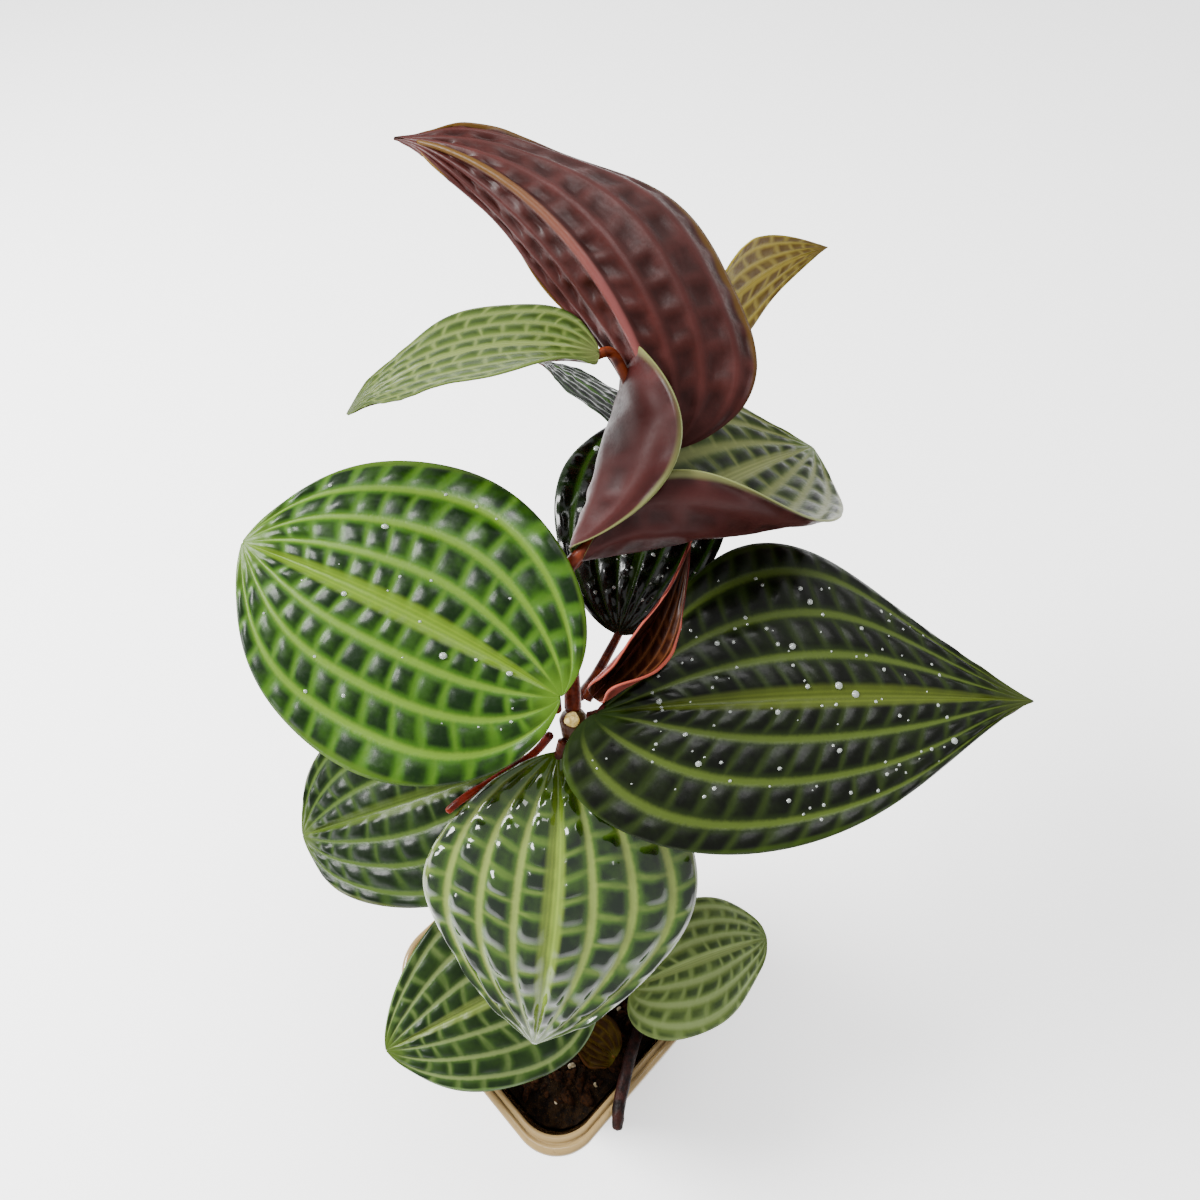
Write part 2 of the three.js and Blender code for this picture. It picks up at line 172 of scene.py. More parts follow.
class ShaderSheet:
    """A small helper that lays out one material's nodes."""

    def __init__(self, name: str) -> None:
        """Starts an empty node material.

        Args:
            name: Name of the material.
        """
        self.material = bpy.data.materials.new(name)
        self.material.use_nodes = True
        self.tree = self.material.node_tree
        self.surface = self.tree.nodes["Principled BSDF"]
        self.coords = self.tree.nodes.new("ShaderNodeTexCoord").outputs["Object"]

    def feed(self, socket: bpy.types.NodeSocket, value) -> None:
        """Links a socket into another, or sets a constant on it.

        Args:
            socket: The input to set.
            value: A socket, or a constant.
        """
        if isinstance(value, bpy.types.NodeSocket):
            self.tree.links.new(value, socket)
        elif isinstance(value, tuple):
            socket.default_value = (*value, 1.0)
        else:
            socket.default_value = value

    def math(self, operation: str, first, second=0.0) -> bpy.types.NodeSocket:
        """One math node; returns its output.

        Args:
            operation: The math node's operation.
            first: A socket or a number.
            second: A socket or a number.

        Returns:
            The result.
        """
        node = self.tree.nodes.new("ShaderNodeMath")
        node.operation = operation
        self.feed(node.inputs[0], first)
        self.feed(node.inputs[1], second)
        return node.outputs[0]

    def ramp(self, value, low: float, high: float, start=0.0, end=1.0) -> bpy.types.NodeSocket:
        """Smoothly maps `value` from low..high to start..end.

        Args:
            value: A socket or a number.
            low: Value that gives `start`.
            high: Value that gives `end`.
            start: Result at `low`.
            end: Result at `high`.

        Returns:
            The mapped value.
        """
        node = self.tree.nodes.new("ShaderNodeMapRange")
        node.interpolation_type = "SMOOTHSTEP"
        for key, setting in (("From Min", low), ("From Max", high), ("To Min", start), ("To Max", end)):
            node.inputs[key].default_value = setting
        self.feed(node.inputs["Value"], value)
        return node.outputs["Result"]

    def mix(self, share, first, second) -> bpy.types.NodeSocket:
        """Mixes two colours; returns the colour output.

        Args:
            share: 0 for the first colour, 1 for the second.
            first: A colour.
            second: A colour.

        Returns:
            The mixed colour.
        """
        node = self.tree.nodes.new("ShaderNodeMix")
        node.data_type = "RGBA"
        self.feed(node.inputs["Factor"], share)
        self.feed(node.inputs["A"], first)
        self.feed(node.inputs["B"], second)
        return node.outputs["Result"]

    def grain(self, size_mm: float, detail: float = 3.0) -> bpy.types.NodeSocket:
        """Noise with features of about that size; returns 0 to 1.

        Args:
            size_mm: Size of a feature.
            detail: How many finer layers it has.

        Returns:
            The noise, 0 to 1.
        """
        node = self.tree.nodes.new("ShaderNodeTexNoise")
        node.inputs["Scale"].default_value = 1.0 / (size_mm * MM)
        node.inputs["Detail"].default_value = detail
        self.feed(node.inputs["Vector"], self.coords)
        return node.outputs["Fac"]

    def attribute(self, name: str) -> list[bpy.types.NodeSocket]:
        """The three parts of a vector attribute stored on the mesh.

        Args:
            name: The attribute's name.

        Returns:
            Its x, y and z.
        """
        node = self.tree.nodes.new("ShaderNodeAttribute")
        node.attribute_name = name
        parts = self.tree.nodes.new("ShaderNodeSeparateXYZ")
        self.feed(parts.inputs[0], node.outputs["Vector"])
        return list(parts.outputs)

    def height(self, value, depth_mm: float) -> None:
        """Uses `value` as fine relief on the surface.

        Args:
            value: The relief, 0 to 1.
            depth_mm: Its depth.
        """
        node = self.tree.nodes.new("ShaderNodeBump")
        node.inputs["Distance"].default_value = depth_mm * MM
        node.inputs["Strength"].default_value = 1.0
        self.feed(node.inputs["Height"], value)
        self.feed(self.surface.inputs["Normal"], node.outputs["Normal"])

    def finish(self, color, roughness, gloss: Gloss) -> bpy.types.Material:
        """Feeds colour, roughness and coat, and returns the material.

        Args:
            color: A colour socket or a constant.
            roughness: A socket or a number.
            gloss: How wet or waxy the surface is.

        Returns:
            The finished material.
        """
        self.feed(self.surface.inputs["Base Color"], color)
        self.feed(self.surface.inputs["Roughness"], roughness)
        self.surface.inputs["Coat Weight"].default_value = gloss.value[1]
        self.surface.inputs["Coat Roughness"].default_value = gloss.value[2]
        self.surface.inputs["Specular IOR Level"].default_value = 0.12
        return self.material


class LeafPaint:
    """Makes the three materials of a leaf: upper side, underside and edge."""

    def __init__(self, form: LeafForm) -> None:
        """Keeps the leaf's form and finish.

        Args:
            form: The leaf to be painted.
        """
        self.form = form
        self.look = form.finish

    def pattern(self, sheet: ShaderSheet) -> dict[str, bpy.types.NodeSocket]:
        """Veins, rungs, cells, midrib and ends of the blade, each as a share 0 to 1.

        Args:
            sheet: The sheet that the nodes are added to.

        Returns:
            One socket for each, by name.
        """
        rung_phase, vein_phase, along = sheet.attribute("blade")
        speckle = sheet.grain(0.9, 2.0)
        blotch = sheet.grain(6.0, 3.0)
        wide = self.look.vein_width
        to_vein = sheet.math("PINGPONG", vein_phase, 0.5)
        to_vein = sheet.math("ADD", to_vein,
            sheet.math("MULTIPLY", sheet.math("SUBTRACT", speckle, 0.5), 0.05))
        stagger = sheet.math("MULTIPLY", sheet.math("FLOOR", vein_phase), 0.37)
        to_rung = sheet.math("PINGPONG", sheet.math("ADD", rung_phase, stagger), 0.5)
        to_rung = sheet.math("ADD", to_rung,
            sheet.math("MULTIPLY", sheet.math("SUBTRACT", blotch, 0.5), 0.22))
        vein = sheet.ramp(to_vein, wide * 0.3, wide * 1.6, 1.0, 0.0)
        rung = sheet.ramp(to_rung, 0.02, 0.15, 1.0, 0.0)
        inside = sheet.ramp(to_vein, wide * 1.1, wide * 2.9)
        ends = sheet.math("MULTIPLY", sheet.ramp(along, 0.03, 0.14), sheet.ramp(along, 0.97, 0.86))
        cell = sheet.math("MULTIPLY", inside, sheet.ramp(to_rung, 0.05, 0.27))
        cell = sheet.math("MULTIPLY", cell, ends)
        vein = sheet.math("MULTIPLY", vein, sheet.ramp(ends, 0.0, 0.7, 0.3, 1.0))
        midrib = sheet.ramp(vein_phase, 0.13, 0.36, 1.0, 0.0)
        return {
            "vein": vein, "rung": rung, "cell": cell, "midrib": midrib, "along": along,
            "speckle": speckle, "blotch": blotch, "vein_phase": vein_phase, "ends": ends,
        }

    def upper(self) -> bpy.types.Material:
        """The glossy green side: dark quilted cells between pale arching veins.

        Returns:
            The material.
        """
        sheet = ShaderSheet(self.form.name + "_upper")
        look, part = self.look, self.pattern(sheet)
        cell_share = sheet.math("MULTIPLY", part["cell"], sheet.ramp(part["blotch"], 0.3, 0.62, 0.6, 1.0))
        color = sheet.mix(cell_share, look.blade, look.cell)
        rungs = sheet.math("MULTIPLY", sheet.math("MULTIPLY", part["rung"], part["ends"]), look.rung_strength)
        rungs = sheet.math("MULTIPLY", rungs, sheet.ramp(part["blotch"], 0.35, 0.65, 0.35, 1.0))
        color = sheet.mix(rungs, color, look.vein)
        color = sheet.mix(sheet.math("MULTIPLY", part["vein"], 0.68), color, look.vein)
        color = sheet.mix(part["midrib"], color, look.midrib)
        streak = sheet.math("MULTIPLY",
            sheet.ramp(sheet.math("PINGPONG", part["vein_phase"], 0.06), 0.0, 0.05), 0.3)
        color = sheet.mix(sheet.math("MULTIPLY", streak, part["midrib"]), color, look.blade)
        rim = sheet.ramp(part["vein_phase"], self.form.veins * 0.955, self.form.veins * 0.99)
        color = sheet.mix(sheet.math("MULTIPLY", rim, 0.6), color, look.edge)
        base = sheet.ramp(part["along"], 0.02, look.tint_reach + 0.02, 0.75, 0.0)
        color = sheet.mix(base, color, look.base_tint)
        color = sheet.mix(sheet.ramp(part["along"], 0.86, 0.98, 0.0, 0.6), color, look.tip_tint)
        rough = look.gloss.value[0]
        roughness = sheet.ramp(part["speckle"], 0.3, 0.8, rough * 0.85, rough * 1.25)
        relief = sheet.math("SUBTRACT", sheet.math("MULTIPLY", part["speckle"], 0.25), part["vein"])
        sheet.height(relief, 0.09)
        return sheet.finish(color, roughness, look.gloss)

    def under(self) -> bpy.types.Material:
        """The wine-coloured side, its veins raised and paler.

        Returns:
            The material.
        """
        sheet = ShaderSheet(self.form.name + "_under")
        look, part = self.look, self.pattern(sheet)
        deep = tuple(channel * 0.42 for channel in look.under)
        color = sheet.mix(sheet.math("MULTIPLY", part["cell"], 0.6), look.under, deep)
        color = sheet.mix(sheet.ramp(part["blotch"], 0.4, 0.75, 0.0, 0.14), color, look.under_vein)
        color = sheet.mix(sheet.math("MULTIPLY", part["vein"], 0.1), color, look.under_vein)
        narrow = sheet.ramp(part["vein_phase"], 0.04, 0.15, 1.0, 0.0)
        fade = sheet.ramp(part["along"], 0.35, 0.8)
        rib_color = sheet.mix(fade, look.under_vein, look.edge)
        color = sheet.mix(sheet.math("MULTIPLY", narrow, 0.85), color, rib_color)
        rim = sheet.ramp(part["vein_phase"], self.form.veins * 0.95, self.form.veins * 0.995, 0.0, 0.75)
        color = sheet.mix(rim, color, look.edge)
        roughness = sheet.ramp(part["speckle"], 0.3, 0.8, 0.36, 0.5)
        sheet.height(sheet.math("ADD", part["vein"], sheet.math("MULTIPLY", part["speckle"], 0.3)), 0.08)
        return sheet.finish(color, roughness, Gloss.DULL)

    def edge(self) -> bpy.types.Material:
        """The thin rim between the two sides.

        Returns:
            The material.
        """
        sheet = ShaderSheet(self.form.name + "_edge")
        pale = tuple(min(1.0, channel * 1.3) for channel in self.look.edge)
        color = sheet.mix(sheet.grain(2.0), self.look.edge, pale)
        return sheet.finish(color, sheet.ramp(sheet.grain(1.0), 0.2, 0.8, 0.35, 0.55), Gloss.DULL)


class Painter:
    """Makes the plain procedural materials."""

    @staticmethod
    def mottled(name: str, look: PlainFinish) -> bpy.types.Material:
        """A two-tone mottled material with grain and, if asked, pale specks.

        Args:
            name: Name of the material.
            look: Its finish.

        Returns:
            The material.
        """
        sheet = ShaderSheet(name)
        broad, fine = sheet.grain(look.grain_mm), sheet.grain(look.grain_mm * 0.25)
        color = sheet.mix(sheet.ramp(broad, 0.35, 0.65), look.low, look.high)
        if look.speck:
            color = sheet.mix(sheet.ramp(fine, 0.62, 0.7, 0.0, 0.8), color, look.speck)
        rough = look.gloss.value[0]
        sheet.height(sheet.math("ADD", fine, broad), look.relief_mm)
        return sheet.finish(color, sheet.ramp(fine, 0.3, 0.7, rough * 0.8, rough * 1.2), look.gloss)

    @staticmethod
    def pot(rim_height: float) -> bpy.types.Material:
        """Glossy tan plastic with fine dust specks, its lip painted lighter towards the top as a painted
        highlight of the lit rim and of light through the thin plastic.

        Args:
            rim_height: Height of the rim, in metres.

        Returns:
            The material.
        """
        sheet = ShaderSheet("pot_plastic")
        parts = sheet.tree.nodes.new("ShaderNodeSeparateXYZ")
        sheet.feed(parts.inputs[0], sheet.coords)
        level = parts.outputs[2]
        cloud = sheet.grain(14.0)
        color = sheet.mix(sheet.ramp(cloud, 0.3, 0.7), tone(88, 70, 46), tone(106, 84, 58))
        # Painted highlight: the lip is mixed towards cream near its top, standing in for the lit rim and
        # light showing through the thin plastic.
        lip = sheet.ramp(level, rim_height - 2.2 * MM, rim_height - 0.5 * MM)
        color = sheet.mix(sheet.math("MULTIPLY", lip, 0.8), color, tone(166, 146, 108))
        foot = sheet.ramp(level, 0.0, 9.0 * MM, 0.35, 0.0)
        color = sheet.mix(foot, color, tone(104, 82, 58))
        dust = sheet.ramp(sheet.grain(1.6), 0.62, 0.75, 0.0, 0.3)
        color = sheet.mix(dust, color, tone(92, 72, 50))
        scuff = sheet.ramp(sheet.grain(5.0), 0.4, 0.7, 0.18, 0.34)
        sheet.height(sheet.grain(2.5), 0.02)
        return sheet.finish(color, scuff, Gloss.WAXY)

    @staticmethod
    def water() -> bpy.types.Material:
        """Clear water standing on a leaf.

        Returns:
            The material.
        """
        sheet = ShaderSheet("water_drops")
        color = sheet.mix(sheet.grain(3.0), tone(236, 244, 236), tone(248, 252, 248))
        sheet.surface.inputs["Transmission Weight"].default_value = 0.75
        sheet.surface.inputs["IOR"].default_value = 1.33
        return sheet.finish(color, sheet.ramp(sheet.grain(1.0), 0.0, 1.0, 0.02, 0.06), Gloss.WET)


class Blade:
    """The leaf's surface: where a point `along` and `across` the blade lies, in metres."""

    def __init__(self, form: LeafForm) -> None:
        """Walks the midrib once in small steps.

        Args:
            form: The leaf's shape.
        """
        self.form = form
        steps = 60
        share = (np.arange(steps) + 0.5) / steps
        ways = self.bearing(form.heading + form.swing * share, form.pitch + form.arch * share)
        walked = np.cumsum(ways, axis=0) * form.length / steps
        self.stations = np.linspace(0.0, 1.0, steps + 1)
        self.points = np.vstack([np.zeros(3), walked]) + np.array(form.base)

    @staticmethod
    def bearing(heading: np.ndarray, pitch: np.ndarray) -> np.ndarray:
        """Unit vectors for headings and pitches in degrees.

        Args:
            heading: Degrees round from +X.
            pitch: Degrees above level.

        Returns:
            One unit vector for each pair.
        """
        h, p = np.radians(heading), np.radians(pitch)
        return np.stack([np.cos(p) * np.cos(h), np.cos(p) * np.sin(h), np.sin(p)], axis=-1)

    def rib(self, share: np.ndarray) -> np.ndarray:
        """Points of the midrib at these shares of its length, in mm.

        Args:
            share: Shares of the length, 0 at the stalk and 1 at the tip.

        Returns:
            One point for each share.
        """
        return np.stack([np.interp(share, self.stations, self.points[:, i]) for i in range(3)], axis=-1)

    def flat(self, along: np.ndarray, across: np.ndarray) -> tuple[np.ndarray, np.ndarray]:
        """The unbent blade, in mm: distance along the midrib and to its left.

        Args:
            along: Share of the length, 0 to 1.
            across: Share of the half width, -1 to 1.

        Returns:
            Distance along, and distance to the left.
        """
        form = self.form
        a, u = np.abs(across), 1.0 - along
        b1, b2, b3 = 4 * u**3 * along, 6 * u**2 * along**2, 4 * u * along**3
        lean = form.skew * across
        x = (
            b1 * (0.25 * (1 - a) - form.lobe * (1 - 2 * lean) * a)
            + b2 * (0.5 * (1 - a) + form.reach[0] * a)
            + b3 * (0.75 * (1 - a) + form.reach[1] * a)
            + along**4
        )
        near_stalk = b1 * form.belly[0] * (1 - lean)
        beyond = (b2 * form.belly[1] + b3 * form.belly[2]) * (1 + form.slew * across)
        wide = near_stalk + beyond
        return x * form.length, wide * across * form.half_width

    def place(self, along: np.ndarray, across: np.ndarray, lift: np.ndarray) -> np.ndarray:
        """Points of the bent blade, `lift` mm above its middle surface.

        Args:
            along: Shares from base (0) to tip (1).
            across: Shares from the right margin (-1) to the left one (1).
            lift: Height over the surface, mm.

        Returns:
            Positions in mm, one row each.
        """
        form = self.form
        x, y = self.flat(along, across)
        share = x / form.length
        held = np.clip(share, 0.0, 1.0)
        heading = form.heading + form.swing * held
        way = self.bearing(heading, form.pitch + form.arch * held)
        h = np.radians(heading)
        level = np.stack([-np.sin(h), np.cos(h), np.zeros_like(h)], axis=-1)
        up = np.cross(way, level)
        roll = np.radians(form.roll + form.twist * held)[:, None]
        side = level * np.cos(roll) + up * np.sin(roll)
        face = up * np.cos(roll) - level * np.sin(roll)
        cup = np.radians(form.cup[0] + (form.cup[1] - form.cup[0]) * held)
        curve = np.where(np.abs(cup) < 1e-4, 1e-4, cup) / form.half_width
        keel = math.radians(form.keel)
        turned = keel + curve * np.abs(y)
        out = np.sign(y) * ((np.sin(turned) - math.sin(keel)) / curve - lift * np.sin(turned))
        rise = (math.cos(keel) - np.cos(turned)) / curve + lift * np.cos(turned)
        past = ((share - held) * form.length)[:, None]
        return self.rib(held) + way * past + side * out[:, None] + face * rise[:, None]


class FunnelBlade(Blade):
    """A blade still rolled into a funnel about its base, its far part bending outwards."""

    def place(self, along: np.ndarray, across: np.ndarray, lift: np.ndarray) -> np.ndarray:
        """Points of the rolled blade; see Blade.place.

        Args:
            along: Share of the length, 0 to 1.
            across: Share of the half width, -1 to 1.
            lift: Height above the blade, mm.

        Returns:
            One point for each, in mm.
        """
        form = self.form
        x, y = self.flat(along, across)
        half = math.radians(form.half_angle)
        radius = np.hypot(x + form.apex_setback, y)
        turn = np.arctan2(y, x + form.apex_setback) / math.sin(half)
        axis = self.bearing(np.array(form.heading), np.array(form.pitch))
        h, spin = math.radians(form.heading), math.radians(form.spin)
        level = np.array([-math.sin(h), math.cos(h), 0.0])
        up = np.cross(axis, level)
        back = level * math.sin(spin) - up * math.cos(spin)
        beside = np.cross(axis, back)
        outward = back * np.cos(turn)[:, None] + beside * np.sin(turn)[:, None]
        ray = axis * math.cos(half) + outward * math.sin(half)
        inward = axis * math.sin(half) - outward * math.cos(half)
        curve = math.radians(form.bend) * np.maximum(0.0, np.cos(turn)) / form.length + 1e-6
        bent = curve * np.maximum(0.0, radius - form.cone_part)
        reach = np.minimum(radius, form.cone_part) + np.sin(bent) / curve + lift * np.sin(bent)
        rise = lift * np.cos(bent) - (1 - np.cos(bent)) / curve - form.spiral * turn
        return np.array(form.base) + ray * reach[:, None] + inward * rise[:, None]


class Mesher:
    """Turns grids into finished objects."""

    @staticmethod
    def grid(columns: int, rows: int) -> tuple[bmesh.types.BMesh, np.ndarray]:
        """A flat grid and its vertices' places in it.

        Args:
            columns: Cells along the first way.
            rows: Cells along the second way.

        Returns:
            The bmesh and an array of (u, v) shares, 0 to 1, one row per vertex.
        """
        body = bmesh.new()
        bmesh.ops.create_grid(body, x_segments=columns, y_segments=rows, size=0.5)
        shares = np.array([(v.co.x + 0.5, v.co.y + 0.5) for v in body.verts])
        return body, np.clip(shares, 0.0, 1.0)

    @staticmethod
    def move(body: bmesh.types.BMesh, places: np.ndarray) -> None:
        """Sets every vertex, from places in mm.

        Args:
            body: The mesh to move.
            places: One row for each vertex, in mm.
        """
        for vertex, place in zip(body.verts, places * MM):
            vertex.co = Vector(place)

    @staticmethod
    def finish(
        name: str, body: bmesh.types.BMesh, materials: list[bpy.types.Material], closed: bool = True
    ) -> bpy.types.Object:
        """Makes the object, smooth shaded, its normals facing out if it is closed.

        Args:
            name: The object's name.
            body: Its mesh.
            materials: Its materials, in slot order.
            closed: Whether the mesh is a closed body.

        Returns:
            The object.
        """
        if closed:
            bmesh.ops.recalc_face_normals(body, faces=body.faces)
        mesh = bpy.data.meshes.new(name)
        body.to_mesh(mesh)
        body.free()
        mesh.shade_smooth()
        for material in materials:
            mesh.materials.append(material)
        piece = bpy.data.objects.new(name, mesh)
        bpy.context.scene.collection.objects.link(piece)
        return piece

    @staticmethod
    def apply(piece: bpy.types.Object) -> None:
        """Bakes the modifiers of a piece into its mesh.

        Args:
            piece: The piece to bake.
        """
        bpy.context.view_layer.update()
        baked = bpy.data.meshes.new_from_object(piece.evaluated_get(bpy.context.evaluated_depsgraph_get()))
        piece.modifiers.clear()
        piece.data = baked


class Rod:
    """A round stem along a smooth route, its radius changing on the way."""

    def __init__(self, route: list[Point], radii: list[float], wobble: float = 0.06, seed: int = 1) -> None:
        """Keeps the route.

        Args:
            route: Points in mm.
            radii: Radii in mm, spread evenly over the route.
            wobble: Unevenness, as a share of the radius.
            seed: Makes its unevenness its own.
        """
        self.route = [Vector(point) for point in route]
        self.radii = radii
        self.wobble = wobble
        self.seed = seed

    def point(self, share: float) -> Vector:
        """A point of the smooth curve through the route.

        Args:
            share: Share of the way along the route, 0 to 1.

        Returns:
            The point.
        """
        last = len(self.route) - 1
        place = min(share * last, last - 1e-6)
        i = int(place)
        t = place - i
        p1, p2 = self.route[i], self.route[i + 1]
        p0 = self.route[i - 1] if i else p1 * 2 - p2
        p3 = self.route[i + 2] if i + 2 <= last else p2 * 2 - p1
        square_term = (2 * p0 - 5 * p1 + 4 * p2 - p3) * t**2
        cube_term = (3 * p1 - p0 - 3 * p2 + p3) * t**3
        return 0.5 * (2 * p1 + (p2 - p0) * t + square_term + cube_term)

    def build(self, name: str, material: bpy.types.Material, around: int = 20,
        steps: int = 60) -> bpy.types.Object:
        """A closed tube with rounded ends.

        Args:
            name: The object's name.
            material: Its material.
            around: Faces round the tube.
            steps: Rings along the tube.

        Returns:
            The tube.
        """
        body, shares = Mesher.grid(around, steps)
        stations = np.linspace(0.0, 1.0, steps + 1)
        centres = [self.point(s) for s in stations]
        frames, side = [], Vector((1.0, 0.2, 0.0))
        for i, centre in enumerate(centres):
            way = (centres[min(i + 1, steps)] - centres[max(i - 1, 0)]).normalized()
            side = (side - way * side.dot(way)).normalized()
            frames.append((way, side, way.cross(side)))
        radii = np.interp(stations, np.linspace(0, 1, len(self.radii)), self.radii)
        radii = radii * np.clip(np.minimum(stations, 1 - stations) * steps / 1.5, 0.0, 1.0) ** 0.5
        places = []
        for u, v in shares:
            i = round(v * steps)
            _, across, other = frames[i]
            turn = 2 * math.pi * u
            bump = noise.noise(Vector((math.cos(turn), math.sin(turn), v * 14 + self.seed * 7))) * self.wobble
            off_centre = across * math.cos(turn) + other * math.sin(turn)
            places.append(centres[i] + off_centre * float(radii[i]) * (1 + bump))
        Mesher.move(body, np.array(places))
        bmesh.ops.remove_doubles(body, verts=body.verts, dist=0.004 * MM)
        return Mesher.finish(name, body, [material])


class LeafMaker:
    """Builds one leaf: a quilted blade of two sides and an edge, and its stalk."""

    def __init__(self, form: LeafForm, seed: int) -> None:
        """Keeps the leaf's form.

        Args:
            form: Shape and finish.
            seed: Makes its unevenness its own.
        """
        self.form = form
        self.seed = seed
        self.blade = FunnelBlade(form) if form.half_angle else Blade(form)
        big = form.length * form.half_width > 1400
        self.columns, self.rows = (132, 88) if big else (100, 64)

    def phases(self, along: np.ndarray, across: np.ndarray) -> tuple[np.ndarray, np.ndarray]:
        """Slightly uneven counts of rungs passed and of veins passed at each point.

        Args:
            along: Share of the length, 0 to 1.
            across: Share of the half width, -1 to 1.

        Returns:
            The rung counts and the vein counts.
        """
        form, side = self.form, np.sign(across)
        drift = np.sin(along * 9.1 + self.seed) * 0.16 + np.sin(across * 6.3 + self.seed * 2.1) * 0.2
        drift += np.sin(along * 23.0 + across * 5.0 + self.seed) * 0.08
        rung = form.rungs * along + drift + side * 0.23 + 40.0
        vein = np.abs(across) * form.veins * (1 + 0.03 * np.sin(along * 12.0 + self.seed + side))
        return rung, vein

    def quilt(self, along: np.ndarray, across: np.ndarray) -> np.ndarray:
        """Height of the puckers, mm: cells stand up, veins and rungs lie between them.

        Args:
            along: Share of the length, 0 to 1.
            across: Share of the half width, -1 to 1.

        Returns:
            One height for each point.
        """
        form = self.form
        rung, vein = self.phases(along, across)
        to_rung = pingpong(rung + 0.37 * np.floor(vein))
        cell = smooth(pingpong(vein), 0.03, 0.4) * (0.35 + 0.65 * smooth(to_rung, 0.0, 0.4))
        ends = smooth(along, 0.02, 0.16) * (1 - smooth(along, 0.86, 0.985))
        rim = 1 - smooth(np.abs(across), 0.93, 1.0)
        groove = -0.5 * (1 - smooth(np.abs(across), 0.0, 0.09))
        ripple = form.ripple * np.sin(along * 17.0 + self.seed * 1.7) * np.abs(across) ** 3
        uneven = 0.8 + 0.3 * np.sin(along * 31.0 + self.seed) * np.sin(across * 11.0 + along * 7.0)
        return (form.pucker * (cell * rim * uneven + groove) + ripple) * ends

    def build(self) -> list[bpy.types.Object]:
        """Makes the blade and, if it has one, the stalk.

        Returns:
            The pieces made.
        """
        form = self.form
        body, shares = Mesher.grid(self.columns, self.rows)
        along = 0.004 + 0.992 * shares[:, 0]
        across = 2 * shares[:, 1] - 1
        rung, vein = self.phases(along, across)
        Mesher.move(body, self.blade.place(along, across, 0.25 + self.quilt(along, across)))
        layer = body.verts.layers.float_vector.new("blade")
        for vertex, values in zip(body.verts, np.stack([rung, vein, along], axis=-1)):
            vertex[layer] = Vector(values)
        paint = LeafPaint(form)
        blade = Mesher.finish(form.name, body, [paint.upper(), paint.under(), paint.edge()], closed=False)
        skin = blade.modifiers.new("thickness", "SOLIDIFY")
        skin.thickness = 0.5 * MM
        skin.offset = -1.0
        skin.material_offset = 1
        skin.material_offset_rim = 2
        skin.use_rim = True
        Mesher.apply(blade)
        pieces = [blade]
        if form.stalk:
            inner = self.blade.place(np.array([0.03, 0.09]), np.array([0.001, 0.001]), np.array([-1.3, -1.7]))
            route = [*form.stalk, *[tuple(p) for p in inner]]
            pieces.append(Rod(route, [1.25, 1.2, 1.0, 0.5], seed=self.seed).build(
                form.name + "_stalk", Painter.mottled(form.name + "_stalk", STALK)))
        return pieces


@dataclass(frozen=True)
class PotSize:
    """Sizes of the pot and its fill, mm."""

    height: float = 65.0
    foot_half: float = 24.5
    top_half: float = 33.0
    rim_half: float = 35.0
    rim_depth: float = 5.0
    wall: float = 1.6
    floor: float = 2.0
    corner: float = 12.0
    drain_radius: float = 3.5
    drain_offset: float = 14.0
    soil_top: float = 56.0
    soil_rise: float = 2.5


